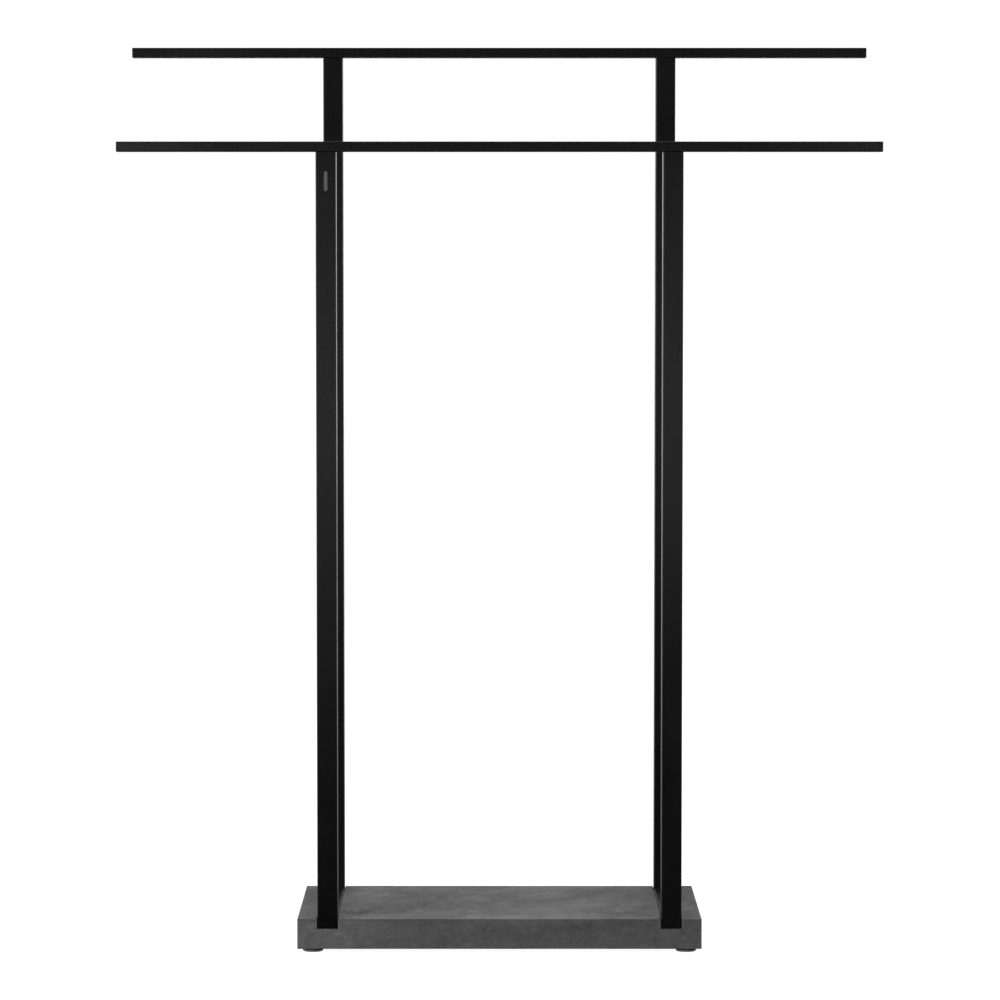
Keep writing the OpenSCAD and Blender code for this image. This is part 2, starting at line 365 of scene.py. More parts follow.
def strip_metal(name):
    """Plain pale strip, faintly brushed along its length."""
    material, tree, shader = new_material(name)
    brushed = clouds(tree, place(tree, (1.0, 1.0, 14.0)), 6000.0, 3.0, 0.6)
    tree.links.new(span(tree, brushed, 0.3, 0.7, 0.12, 0.20), shader.inputs["Base Color"])
    tree.links.new(span(tree, brushed, 0.3, 0.7, 0.34, 0.48), shader.inputs["Roughness"])
    tree.links.new(bump(tree, brushed, 0.008 * MM, 0.6), shader.inputs["Normal"])
    return material


COAT = powder_coat("black_powder_coat")
CONCRETE = concrete("concrete")
ZINC = zinc("zinc_steel")
OXIDE = black_oxide("black_screw")
RUBBER = foot_rubber("foot_rubber")
FILM = adhesive_film("adhesive_film")
STRIP = strip_metal("strip_grey")


# ---------------------------------------------------------------- mesh helpers


def make_piece(name, mesh, material, nodes, weighted=True, sharp_degrees=50.0):
    """Shades the mesh, gives it its material, and puts it on the frame in place of its CAD nodes, if any."""
    mesh.polygons.foreach_set("use_smooth", [True] * len(mesh.polygons))
    mesh.set_sharp_from_angle(angle=math.radians(sharp_degrees))
    mesh.materials.clear()
    mesh.materials.append(material)
    mesh.update()
    piece = bpy.data.objects.new(name, mesh)
    bpy.context.scene.collection.objects.link(piece)
    if weighted:
        normals = piece.modifiers.new("weighted_normals", "WEIGHTED_NORMAL")
        normals.keep_sharp = True
        normals.weight = 100
    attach(piece, "root")
    if nodes:
        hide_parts(*nodes)


def to_mesh(name, bm):
    """Turns the finished bmesh into a mesh whose faces all look outwards."""
    bmesh.ops.recalc_face_normals(bm, faces=bm.faces)
    mesh = bpy.data.meshes.new(name)
    bm.to_mesh(mesh)
    bm.free()
    return mesh


def rounded_outline(width, height, radius):
    """Points round a rectangle with rounded corners, anticlockwise, centred on the origin."""
    points = []
    for corner in range(4):
        start = corner * math.pi / 2
        cx = (width / 2 - radius) * (1 if corner in (0, 3) else -1)
        cy = (height / 2 - radius) * (1 if corner in (0, 1) else -1)
        for step in range(CORNER_STEPS + 1):
            angle = start + math.pi / 2 * step / CORNER_STEPS
            points.append((cx + radius * math.cos(angle), cy + radius * math.sin(angle)))
    return points


def join_rings(bm, rings, closed=False):
    """Adds the faces between each ring of vertices and the next, and round to the first if closed."""
    pairs = list(zip(rings, rings[1:]))
    if closed:
        pairs.append((rings[-1], rings[0]))
    for a, b in pairs:
        count = len(a)
        for i in range(count):
            j = (i + 1) % count
            bm.faces.new((a[i], a[j], b[j], b[i]))


def stations(start, end, spacing):
    """Even steps from start to end, both counted, about the spacing apart."""
    count = max(1, round((end - start) / spacing))
    return [start + (end - start) * i / count for i in range(count + 1)]


def bar_mesh(name, box, axis, wall=0.0, spacing=25 * MM, end_round=0.3 * MM, dust=0.0):
    """A straight bar or tube that fills a box along an axis, with rounded long edges and eased ends."""
    low, high = box
    index = "XYZ".index(axis)
    across = [i for i in range(3) if i != index]
    size = [high[i] - low[i] for i in across]
    centre = [(high[i] + low[i]) / 2 for i in across]
    start, end = low[index], high[index]
    bm = bmesh.new()
    wear = bm.verts.layers.float.new("wear")
    dust_layer = bm.verts.layers.float.new("dust")

    def ring(along, inset, outer=True):
        shrink = 2 * (inset if outer else wall)
        radius = BAR_CORNER - inset if outer else INNER_CORNER
        made = []
        for i, (u, v) in enumerate(rounded_outline(size[0] - shrink, size[1] - shrink, radius)):
            spot = [centre[0] + u, centre[1] + v]
            spot.insert(index, along)
            vertex = bm.verts.new(spot)
            if outer:
                on_corner = i % (CORNER_STEPS + 1) in range(1, CORNER_STEPS)
                vertex[wear] = 1.0 if on_corner else FLAT_WEAR
                vertex[dust_layer] = dust if on_corner else 0.0
            made.append(vertex)
        return made

    soft = end_round * 0.3
    rings = [ring(start, end_round), ring(start + soft, soft), ring(start + end_round, 0.0)]
    middle = stations(start + end_round, end - end_round, spacing)[1:-1]
    rings += [ring(along, 0.0) for along in middle]
    rings += [ring(end - end_round, 0.0), ring(end - soft, soft), ring(end, end_round)]
    if wall:
        rings += [ring(end, 0.0, outer=False), ring(start, 0.0, outer=False)]
        join_rings(bm, rings, closed=True)
    else:
        join_rings(bm, rings)
        bm.faces.new(list(reversed(rings[0])))
        bm.faces.new(rings[-1])
    return to_mesh(name, bm)


def lathe(bm, profile, centre, segments=48, wear_rows=()):
    """Turns (radius, height) points about Z at centre. A profile that starts off the axis is closed."""
    turns = [2 * math.pi * k / segments for k in range(segments)]
    wear = bm.verts.layers.float.get("wear") or bm.verts.layers.float.new("wear")
    rows = []
    for row, (radius, height) in enumerate(profile):
        spot = Vector((centre[0], centre[1], centre[2] + height))
        if radius < TINY:
            made = [bm.verts.new(spot)]
        else:
            made = [
                bm.verts.new(spot + Vector((radius * math.cos(t), radius * math.sin(t), 0)))
                for t in turns
            ]
        if row in wear_rows:
            for vertex in made:
                vertex[wear] = 1.0
        rows.append(made)
    pairs = list(zip(rows, rows[1:]))
    if len(rows[0]) > 1:
        pairs.append((rows[-1], rows[0]))
    for a, b in pairs:
        for k in range(segments):
            j = (k + 1) % segments
            if len(a) == 1:
                bm.faces.new((a[0], b[j], b[k]))
            elif len(b) == 1:
                bm.faces.new((a[k], a[j], b[0]))
            else:
                bm.faces.new((a[k], a[j], b[j], b[k]))


def base_screw_places():
    """The X of both columns of base screws, and the Y of both rows."""
    low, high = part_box("base_washers")
    return (
        (low.x + WASHER_RADIUS, high.x - WASHER_RADIUS),
        (low.y + WASHER_RADIUS, high.y - WASHER_RADIUS),
    )


def cut(mesh, cutter, name):
    """The mesh with the cutter's solid taken out of it."""
    target = bpy.data.objects.new(name + "_target", mesh)
    tool = bpy.data.objects.new(name + "_tool", cutter)
    for thing in (target, tool):
        bpy.context.scene.collection.objects.link(thing)
    change = target.modifiers.new("cut", "BOOLEAN")
    change.operation = "DIFFERENCE"
    change.solver = "EXACT"
    change.object = tool
    bpy.context.view_layer.update()
    depsgraph = bpy.context.evaluated_depsgraph_get()
    result = bpy.data.meshes.new_from_object(target.evaluated_get(depsgraph))
    result.name = name
    for thing in (target, tool):
        bpy.data.objects.remove(thing)
    return result


# ---------------------------------------------------------------- slab

SLAB_SPACING = 2.5 * MM
MERGE_GAP = 0.01 * MM
ARRIS_SUPPORTS = [0.16 * MM, 0.36 * MM, 0.62 * MM, 1.0 * MM, 1.7 * MM]
ARRIS_RADIUS = 0.5 * MM
ARRIS_MAX = 1.7 * MM
# How far the paler edge band reaches: partly wear, partly a painted highlight
WEAR_AND_HIGHLIGHT_REACH = 1.4 * MM
# How far in a rounded corner lies at 45 degrees, as a share of its radius
CORNER_INSET = 0.29
# Between these depths under an upper edge the sides get a band of painted shade
RIM_TOP = 0.6 * MM
RIM_BOTTOM = 1.2 * MM

# Chips along the edges: how many, and the least and greatest reach and depth in millimetres
CHIP_COUNT = 46
CHIP_REACH = (0.8, 2.4)
CHIP_DEPTH = (0.3, 0.9)

RECESS_RADIUS = 7.5 * MM
BORE_RADIUS = 3.5 * MM
HOLE_EASE = 0.4 * MM
# Half the side of the square of grid that a screw hole takes the place of
HOLE_HALF = 8.9 * MM

# Air holes left by casting: the face, the way into the slab, how many, and the radius of the largest
AIR_HOLES = [
    ("top", Vector((0, 0, -1)), 14, 0.55 * MM),
    ("front", Vector((0, 1, 0)), 6, 0.45 * MM),
    ("back", Vector((0, -1, 0)), 9, 0.7 * MM),
    ("left", Vector((1, 0, 0)), 4, 0.6 * MM),
    ("right", Vector((-1, 0, 0)), 4, 0.6 * MM),
    ("under", Vector((0, 0, 1)), 60, 1.5 * MM),
]
AIR_HOLE_TRIES = 4000
# Rings of an air hole from its lip inwards: share of its radius, share of its depth, and painted shade
AIR_HOLE_RINGS = [(1.12, 0.0, 0.0), (1.0, 0.10, 0.35), (0.86, 0.45, 0.8), (0.52, 0.85, 1.0)]

# Orders in which a face takes its four corners
FORWARDS = (0, 1, 2, 3)
BACKWARDS = (0, 3, 2, 1)
REVERSED = (3, 2, 1, 0)


def grid_lines(stops, hard):
    """Grid lines through all stops, about SLAB_SPACING apart, and closer beside the hard ones, the edges."""
    lines = []
    for start, end in zip(stops, stops[1:]):
        first = [start + s for s in ARRIS_SUPPORTS] if start in hard else [start]
        last = [end - s for s in reversed(ARRIS_SUPPORTS)] if end in hard else [end]
        lines += [start, *first, *stations(first[-1], last[0], SLAB_SPACING), *last, end]
    kept = []
    for value in sorted(lines):
        if not kept or value - kept[-1] > MERGE_GAP:
            kept.append(value)
    return kept


def nearest(lines, value):
    return min(range(len(lines)), key=lambda i: abs(lines[i] - value))


class Slab:
    """The slab's surface, a grid of faces: rounded chipped edges, grooves, screw holes and air holes."""

    def __init__(self):
        self.low, self.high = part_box("base_slab")
        left_low, left_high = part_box("left_sill")
        right_low, right_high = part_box("right_sill")
        self.floor = left_low.z
        self.walls = [
            left_low.x - GROOVE_GAP,
            left_high.x + GROOVE_GAP,
            right_low.x - GROOVE_GAP,
            right_high.x + GROOVE_GAP,
        ]
        self.lay_grid()
        self.rng = random.Random(7)
        self.chips = [self.chip() for _ in range(CHIP_COUNT)]
        self.bm = bmesh.new()
        # Layers: paler edges, partly wear and partly a painted highlight; a band of painted shade under the
        # upper rims; painted shade in the air holes
        self.wear = self.bm.verts.layers.float.new("wear")
        self.rim = self.bm.verts.layers.float.new("rim")
        self.pore = self.bm.verts.layers.float.new("pore")
        self.made = {}
        self.faces = {}
        self.lay_faces()

    def lay_grid(self):
        """The grid lines each way, and the planes of the surface as an axis and a grid line across it."""
        low, high, floor, walls = self.low, self.high, self.floor, self.walls
        hole_edges = [y + way * HOLE_HALF for y in base_screw_places()[1] for way in (-1, 1)]
        self.xs = grid_lines([low.x, *walls, high.x], {low.x, *walls, high.x})
        self.ys = grid_lines([low.y, *hole_edges, high.y], {low.y, high.y})
        self.zs = grid_lines([low.z, floor, high.z], {low.z, floor, high.z})
        self.wall_lines = [nearest(self.xs, wall) for wall in walls]
        self.floor_line = nearest(self.zs, floor)
        self.planes = {
            "left": (0, 0),
            "right": (0, len(self.xs) - 1),
            "front": (1, 0),
            "back": (1, len(self.ys) - 1),
            "under": (2, 0),
            "groove": (2, self.floor_line),
            "top": (2, len(self.zs) - 1),
        }
        for line in self.wall_lines:
            self.planes[f"wall{line}"] = (0, line)

    def chip(self):
        """A small chip at a random place on an edge: its middle, reach and depth."""
        rng, low, high = self.rng, self.low, self.high
        along_x = rng.random() < 0.7
        spot = Vector(
            (
                rng.uniform(low.x, high.x) if along_x else rng.choice([low.x, high.x, *self.walls]),
                rng.choice([low.y, high.y]) if along_x else rng.uniform(low.y, high.y),
                high.z if rng.random() < 0.75 else low.z,
            )
        )
        return spot, rng.uniform(*CHIP_REACH) * MM, rng.uniform(*CHIP_DEPTH) * MM

    def arris_radius(self, p):
        """The rounding of the edges near a point, larger where there is a chip."""
        radius = ARRIS_RADIUS * (1.0 + 0.30 * noise.noise(p * 55.0) + 0.22 * noise.noise(p * 210.0))
        for spot, reach, depth in self.chips:
            away = (p - spot).length
            if away < 3 * reach:
                radius += depth * math.exp(-((away / reach) ** 2))
        return min(radius, ARRIS_MAX)

    def waviness(self, p):
        """How far the uneven surface lies inside the slab's box."""
        broad = 0.5 + 0.5 * noise.noise(p * 17.0)
        close = 0.5 + 0.5 * noise.noise(p * 120.0 + Vector((3.1, 0.4, 7.7)))
        return 0.10 * MM * broad + 0.035 * MM * close

    def ease_ends(self, p, radius):
        """A point on the line where a groove's floor and wall meet, drawn in where it nears an end."""
        inset = CORNER_INSET * radius
        reach = ARRIS_SUPPORTS[-1]
        for limit, way in ((self.low.y, 1), (self.high.y, -1)):
            depth = (p.y - limit) * way
            if depth < reach:
                p.y = limit + way * (inset + depth * (1 - inset / reach))
        return p

    def shape(self, i, j, k):
        """Where grid point i, j, k lies on the uneven slab, how pale its edge is (partly wear, partly a
        painted highlight), and if it is in the band of painted shade under an upper rim.
        """
        low, high, walls, wall_lines = self.low, self.high, self.walls, self.wall_lines
        p = Vector((self.xs[i], self.ys[j], self.zs[k]))
        radius = self.arris_radius(p)
        x_low, x_high, z_high = low.x, high.x, high.z
        in_groove = wall_lines[0] <= i <= wall_lines[1] or wall_lines[2] <= i <= wall_lines[3]
        if k > self.floor_line:
            if i <= wall_lines[0]:
                x_high = walls[0]
            elif i >= wall_lines[3]:
                x_low = walls[3]
            else:
                x_low, x_high = walls[1], walls[2]
        elif k == self.floor_line and in_groove:
            if i in wall_lines:
                return self.ease_ends(p, radius), 0.0, 0.0
            z_high = self.floor
        q = Vector(
            (
                min(max(p.x, x_low + radius), x_high - radius),
                min(max(p.y, low.y + radius), high.y - radius),
                min(max(p.z, low.z + radius), z_high - radius),
            )
        )
        out = p - q
        if out.length < TINY:
            return p, 0.0, 0.0
        normal = out.normalized()
        gaps = sorted(
            (
                min(p.x - x_low, x_high - p.x),
                min(p.y - low.y, high.y - p.y),
                min(p.z - low.z, z_high - p.z),
            )
        )
        # Paler near the edges: partly wear, partly a painted highlight
        wear_and_highlight = max(0.0, 1.0 - gaps[1] / WEAR_AND_HIGHLIGHT_REACH)
        # Painted shade: a band just under an upper edge, on the sides
        in_painted_rim_shade = RIM_TOP < z_high - p.z < RIM_BOTTOM and gaps[0] < TINY
        return q + normal * radius - normal * self.waviness(p), wear_and_highlight, float(in_painted_rim_shade)

    def vertex(self, point):
        """The vertex at a grid point, made when it is first asked for."""
        if point not in self.made:
            spot, wear_and_highlight, rim = self.shape(*point)
            vertex = self.bm.verts.new(spot)
            vertex[self.wear] = wear_and_highlight
            vertex[self.rim] = rim
            self.made[point] = vertex
        return self.made[point]

    def on_plane(self, plane, a, b):
        """The grid point at place a, b of a plane."""
        axis, line = self.planes[plane]
        point = [a, b]
        point.insert(axis, line)
        return tuple(point)

    def lay_face(self, plane, a, b, order=FORWARDS):
        """Adds the face at place a, b of a plane, as its four grid points."""
        places = [(a, b), (a + 1, b), (a + 1, b + 1), (a, b + 1)]
        self.faces[(plane, a, b)] = [self.on_plane(plane, *places[n]) for n in order]

    def lay_faces(self):
        """All faces of the grid's surface, before any hole is made."""
        a, b, c, d = self.wall_lines
        rows = range(len(self.ys) - 1)
        levels = range(len(self.zs) - 1)
        columns = range(len(self.xs) - 1)
        cut_columns = [*range(a, b), *range(c, d)]
        for i in columns:
            for k in levels:
                if k < self.floor_line or i not in cut_columns:
                    self.lay_face("front", i, k)
                    self.lay_face("back", i, k, BACKWARDS)
        for i in columns:
            for j in rows:
                self.lay_face("under", i, j, BACKWARDS)
                self.lay_face("groove" if i in cut_columns else "top", i, j)
        for j in rows:
            for k in levels:
                self.lay_face("left", j, k, BACKWARDS)
                self.lay_face("right", j, k)
                if k >= self.floor_line:
                    for line, order in zip(self.wall_lines, (FORWARDS, REVERSED) * 2):
                        self.lay_face(f"wall{line}", j, k, order)

    def take_block(self, plane, a0, a1, b0, b1):
        """Takes a block of faces away and gives its rim's vertices in order."""
        for a in range(a0, a1):
            for b in range(b0, b1):
                del self.faces[(plane, a, b)]
        rim = [(a, b0) for a in range(a0, a1)] + [(a1, b) for b in range(b0, b1)]
        rim += [(a, b1) for a in range(a1, a0, -1)] + [(a0, b) for b in range(b1, b0, -1)]
        return [self.vertex(self.on_plane(plane, *place)) for place in rim]

    def bore_hole(self, x, y):
        """A counterbored screw hole, from the underside through to a groove's floor."""
        bottom, floor = self.low.z, self.floor
        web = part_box("base_washers")[1].z
        columns = nearest(self.xs, x - HOLE_HALF), nearest(self.xs, x + HOLE_HALF)
        rows = nearest(self.ys, y - HOLE_HALF), nearest(self.ys, y + HOLE_HALF)
        under = self.take_block("under", *columns, *rows)
        upper = self.take_block("groove", *columns, *rows)
        angles = [math.atan2(v.co.y - y, v.co.x - x) for v in under]
        profile = [
            (RECESS_RADIUS + HOLE_EASE, bottom + 0.02 * MM),
            (RECESS_RADIUS + HOLE_EASE * 0.3, bottom + HOLE_EASE * 0.35),
            (RECESS_RADIUS, bottom + HOLE_EASE * 1.2),
            (RECESS_RADIUS, (bottom + web) / 2),
            (RECESS_RADIUS, web),
            (BORE_RADIUS + HOLE_EASE, web),
            (BORE_RADIUS, web + HOLE_EASE),
            (BORE_RADIUS, floor - HOLE_EASE),
            (BORE_RADIUS + HOLE_EASE, floor),
        ]
        circles = [
            [self.bm.verts.new((x + r * math.cos(t), y + r * math.sin(t), z)) for t in angles]
            for r, z in profile
        ]
        join_rings(self.bm, [under, *circles, upper])

    def has_room(self, plane, a, b, size):
        """Are the faces of a block and all round it still there, and as wide as the grid's spacing?"""
        around = [(a + u, b + v) for u in range(-1, size + 1) for v in range(-1, size + 1)]
        if any((plane, *place) not in self.faces for place in around):
            return False
        corners = [self.shape(*point)[0] for point in self.faces[(plane, a, b)]]
        sides = [(corners[n] - corners[n - 1]).length for n in range(4)]
        return min(sides) >= 0.7 * SLAB_SPACING

    def sink_air_hole(self, rim, inward, largest, roomy):
        """Joins a rounded, uneven pit to the rim that a block of faces left behind."""
        centre = sum((v.co for v in rim), Vector()) / len(rim)
        half = min((v.co - centre).length for v in rim) * (0.94 if roomy else 0.66)
        radius = min(self.rng.uniform(0.30, 0.80) * half, largest)
        depth = radius * self.rng.uniform(0.6, 1.3)
        per_edge = 2 if roomy else 3
        edges = list(zip(rim, rim[1:] + rim[:1]))
        spokes = [
            (v.co.lerp(after.co, s / per_edge) - centre).normalized()
            for v, after in edges
            for s in range(per_edge)
        ]
        skew = [1.0 + 0.22 * noise.noise(d * 2.3 + centre * 900.0) for d in spokes]
        rings = []
        # Each ring is darker the deeper it lies: painted shade in the air hole
        for share, drop, dark in AIR_HOLE_RINGS:
            ring = [
                self.bm.verts.new(centre + d * radius * k * share + inward * (drop * depth))
                for d, k in zip(spokes, skew)
            ]
            for v in ring:
                v[self.pore] = dark
            rings.append(ring)
        total = len(spokes)
        for n, (v, after) in enumerate(edges):
            arc = [rings[0][(n * per_edge + s) % total] for s in range(per_edge + 1)]
            self.bm.faces.new([v, after] + arc[::-1])
        join_rings(self.bm, rings)
        bottom = self.bm.verts.new(centre + inward * depth)
        bottom[self.pore] = 1.0
        for n in range(total):
            self.bm.faces.new((rings[-1][n], rings[-1][(n + 1) % total], bottom))

    def add_air_holes(self, plane, inward, count, largest):
        """Sinks air holes at random places on a face of the slab, each where there is room for it."""
        places = sorted((a, b) for kind, a, b in self.faces if kind == plane)
        tries = 0
        while count and tries < AIR_HOLE_TRIES:
            tries += 1
            size = 2 if self.rng.random() < 0.35 else 1
            a, b = self.rng.choice(places)
            if self.has_room(plane, a, b, size):
                rim = self.take_block(plane, a, a + size, b, b + size)
                self.sink_air_hole(rim, inward, largest, size > 1)
                count -= 1

    def mesh(self):
        """The finished mesh, with the faces that no hole took away."""
        for points in self.faces.values():
            self.bm.faces.new([self.vertex(point) for point in points])
        return to_mesh("concrete_slab", self.bm)


def make_slab():
    slab = Slab()
    columns, rows = base_screw_places()
    for x in columns:
        for y in rows:
            slab.bore_hole(x, y)
    for plane, inward, count, largest in AIR_HOLES:
        slab.add_air_holes(plane, inward, count, largest)
    make_piece(
        "concrete_slab", slab.mesh(), CONCRETE, ["base_slab"], weighted=False, sharp_degrees=60.0
    )


make_slab()


# ---------------------------------------------------------------- frame


RAIL_END_ROUND = 0.12 * MM
SILL_END_ROUND = 0.1 * MM

# Rail screws, and the play of their heads and shanks in the countersunk holes
RAIL_SHANK = 2.5 * MM
RAIL_HEAD = 5.0 * MM
RAIL_CONE = 2.5 * MM
RAIL_RECESS = 0.2 * MM
RAIL_SCREW_LENGTH = 20 * MM
SCREW_PLAY = 0.25 * MM


def make_post(side, end):
    name = f"{side}_{end}_post"
    node = f"{side}_{end}_upright"
    mesh = bar_mesh(name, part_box(node), "Z", TUBE_WALL)
    make_piece(name, mesh, COAT, [node])


def make_sill(side):
    name = f"{side}_sill_bar"
    node = f"{side}_sill"
    mesh = bar_mesh(name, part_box(node), "Y", end_round=SILL_END_ROUND, dust=1.0)
    make_piece(name, mesh, COAT, [node])


def rail_screw_spots(end, depth=0.0):
    """The points on the axes of a rail's two screws that lie at this depth below its top face."""
    low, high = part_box(f"{end}_rail")
    spots = []
    for side in SIDES:
        a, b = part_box(f"{end}_rail_{side}_spacer")
        spots.append(Vector(((a.x + b.x) / 2, (low.y + high.y) / 2, high.z - depth)))
    return spots


def countersink_cutter(spots):
    """One mesh of the countersunk holes at these spots, each on a rail's top face."""
    above, through = 1 * MM, 12 * MM
    hole = RAIL_SHANK + SCREW_PLAY
    head = RAIL_HEAD + SCREW_PLAY
    profile = [
        (0, -through),
        (hole, -through),
        (hole, -RAIL_RECESS - RAIL_CONE),
        (head, -RAIL_RECESS),
        (head, above),
        (0, above),
    ]
    bm = bmesh.new()
    for spot in spots:
        lathe(bm, profile, spot)
    return to_mesh("countersinks", bm)


def make_rail(end):
    name = f"{end}_rail_tube"
    node = f"{end}_rail"
    mesh = bar_mesh(name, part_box(node), "X", TUBE_WALL, end_round=RAIL_END_ROUND)
    mesh = cut(mesh, countersink_cutter(rail_screw_spots(end)), name)
    make_piece(name, mesh, COAT, [node])


def make_cap(side, end):
    node = f"{end}_rail_{side}_cap"
    name = node + "_plate"
    mesh = bar_mesh(name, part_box(node), "X", end_round=RAIL_END_ROUND)
    make_piece(name, mesh, COAT, [node])


for side in SIDES:
    for end in ENDS:
        make_post(side, end)
    make_sill(side)
for end in ENDS:
    make_rail(end)
    for side in SIDES:
        make_cap(side, end)


# ---------------------------------------------------------------- welds

WELD_LEG = 1.4 * MM
WELD_BULGE = 0.10
WELD_TAPER = 1.5 * MM
WELD_SPACING = 0.7 * MM
WELD_STEPS = 5


def make_weld(side, end):
    """The small ground bead where a sill meets the inner face of an upright."""
    sill_low, sill_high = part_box(f"{side}_sill")
    toward = 1 if end == "front" else -1
    y = sill_low.y if end == "front" else sill_high.y
    z = sill_high.z
    name = f"{side}_{end}_weld"
    bm = bmesh.new()
    wear = bm.verts.layers.float.new("wear")
    half = (sill_high.x - sill_low.x) / 2 - BAR_CORNER
    middle = (sill_high.x + sill_low.x) / 2
    rings = []
    for along in stations(middle - half, middle + half, WELD_SPACING):
        unevenness = noise.noise(Vector((along * 300.0, y * 90.0, 0)))
        ripple = 1.0 + 0.10 * math.sin(along * 4200.0) + 0.12 * unevenness
        fade = min(1.0, (half - abs(along - middle)) / WELD_TAPER + 0.35)
        leg = WELD_LEG * ripple * fade
        points = []
        for step in range(WELD_STEPS + 1):
            t = step / WELD_STEPS
            bulge = WELD_BULGE * leg * math.sin(math.pi * t)
            points.append((leg * (1 - t) + bulge, leg * t + bulge))
        points.append((0.0, 0.0))
        rings.append([bm.verts.new((along, y + toward * out, z + up)) for out, up in points])
    join_rings(bm, rings)
    bm.faces.new(rings[0])
    bm.faces.new(rings[-1])
    for v in bm.verts:
        v[wear] = 0.2
    make_piece(name, to_mesh(name, bm), COAT, [])


for side in SIDES:
    for end in ENDS:
        make_weld(side, end)


# ---------------------------------------------------------------- screws and washers


RAIL_HEX = 3 * MM
RAIL_HEX_DEPTH = 1.6 * MM
BASE_SHANK = 3.0 * MM
BASE_HEAD = 5.0 * MM
BASE_HEX = 5 * MM
BASE_HEX_DEPTH = 3 * MM
WASHER_BORE = 3.2 * MM
WASHER_EDGE = 0.2 * MM


def hex_cutter(spots, flats, depth):
    """Hexagonal sockets cut downwards from these spots, or upwards where depth is negative."""
    bm = bmesh.new()
    radius = flats / 2 / math.cos(math.pi / 6)
    turns = [math.pi / 3 * k for k in range(6)]
    margin = math.copysign(0.5 * MM, depth)
    for spot in spots:
        rings = [
            [
                bm.verts.new((spot.x + radius * math.cos(t), spot.y + radius * math.sin(t), z))
                for t in turns
            ]
            for z in (spot.z - depth, spot.z + margin)
        ]
        join_rings(bm, rings)
        bm.faces.new(rings[0])
        bm.faces.new(rings[1])
    return to_mesh("hex_sockets", bm)


def make_rail_screws():
    """The four countersunk rail screws. The middle of a head's top is at height zero of the profile."""
    name = "rail_screw_set"
    spots = [spot for end in ENDS for spot in rail_screw_spots(end, RAIL_RECESS)]
    profile = [
        (0, -RAIL_SCREW_LENGTH),
        (RAIL_SHANK - 0.5 * MM, -RAIL_SCREW_LENGTH),
        (RAIL_SHANK, -RAIL_SCREW_LENGTH + 0.5 * MM),
        (RAIL_SHANK, -RAIL_CONE),
        (RAIL_HEAD - 0.25 * MM, -0.25 * MM),
        (RAIL_HEAD - 0.08 * MM, -0.14 * MM),
        (RAIL_HEAD - 0.06 * MM, -0.06 * MM),
        (RAIL_HEAD - 0.22 * MM, 0),
        (RAIL_HEAD - 1.2 * MM, 0),
        (0, 0),
    ]
    bm = bmesh.new()
    for spot in spots:
        lathe(bm, profile, spot, wear_rows=(5, 6, 7))
    mesh = cut(to_mesh(name, bm), hex_cutter(spots, RAIL_HEX, RAIL_HEX_DEPTH), name)
    make_piece(name, mesh, OXIDE, ["rail_screws"], sharp_degrees=35.0)


def make_base_screws():
    """The four base screws. A washer's underside, where a head bears, is at height zero of the profile."""
    name = "base_screw_set"
    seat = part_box("base_washers")[0].z
    low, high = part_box("base_screws")
    bottom, tip = low.z - seat, high.z - seat
    profile = [
        (0, bottom),
        (BASE_HEAD - 0.9 * MM, bottom),
        (BASE_HEAD - 0.35 * MM, bottom + 0.12 * MM),
        (BASE_HEAD, bottom + 0.6 * MM),
        (BASE_HEAD, -0.15 * MM),
        (BASE_HEAD - 0.15 * MM, 0),
        (BASE_SHANK, 0),
        (BASE_SHANK, tip - 0.6 * MM),
        (BASE_SHANK - 0.6 * MM, tip),
        (0, tip),
    ]
    bm = bmesh.new()
    spots = []
    columns, rows = base_screw_places()
    for x in columns:
        for y in rows:
            lathe(bm, profile, (x, y, seat))
            spots.append(Vector((x, y, low.z)))
    mesh = cut(to_mesh(name, bm), hex_cutter(spots, BASE_HEX, -BASE_HEX_DEPTH), name)
    make_piece(name, mesh, ZINC, ["base_screws"], sharp_degrees=35.0)


def make_base_washers():
    """The four flat washers, with eased edges."""
    name = "base_washer_set"
    low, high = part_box("base_washers")
    height = high.z - low.z
    profile = [
        (WASHER_BORE, WASHER_EDGE),
        (WASHER_BORE + WASHER_EDGE, 0),
        (WASHER_RADIUS - WASHER_EDGE, 0),
        (WASHER_RADIUS, WASHER_EDGE),
        (WASHER_RADIUS, height - WASHER_EDGE),
        (WASHER_RADIUS - WASHER_EDGE, height),
        (WASHER_BORE + WASHER_EDGE, height),
        (WASHER_BORE, height - WASHER_EDGE),
    ]
    bm = bmesh.new()
    columns, rows = base_screw_places()
    for x in columns:
        for y in rows:
            lathe(bm, profile, (x, y, low.z))
    make_piece(name, to_mesh(name, bm), ZINC, ["base_washers"])


make_rail_screws()
make_base_screws()
make_base_washers()


# ---------------------------------------------------------------- feet

FOOT_RIM = 1.1 * MM
FOOT_TAPER = 0.8 * MM
FOOT_RIM_STEPS = 6

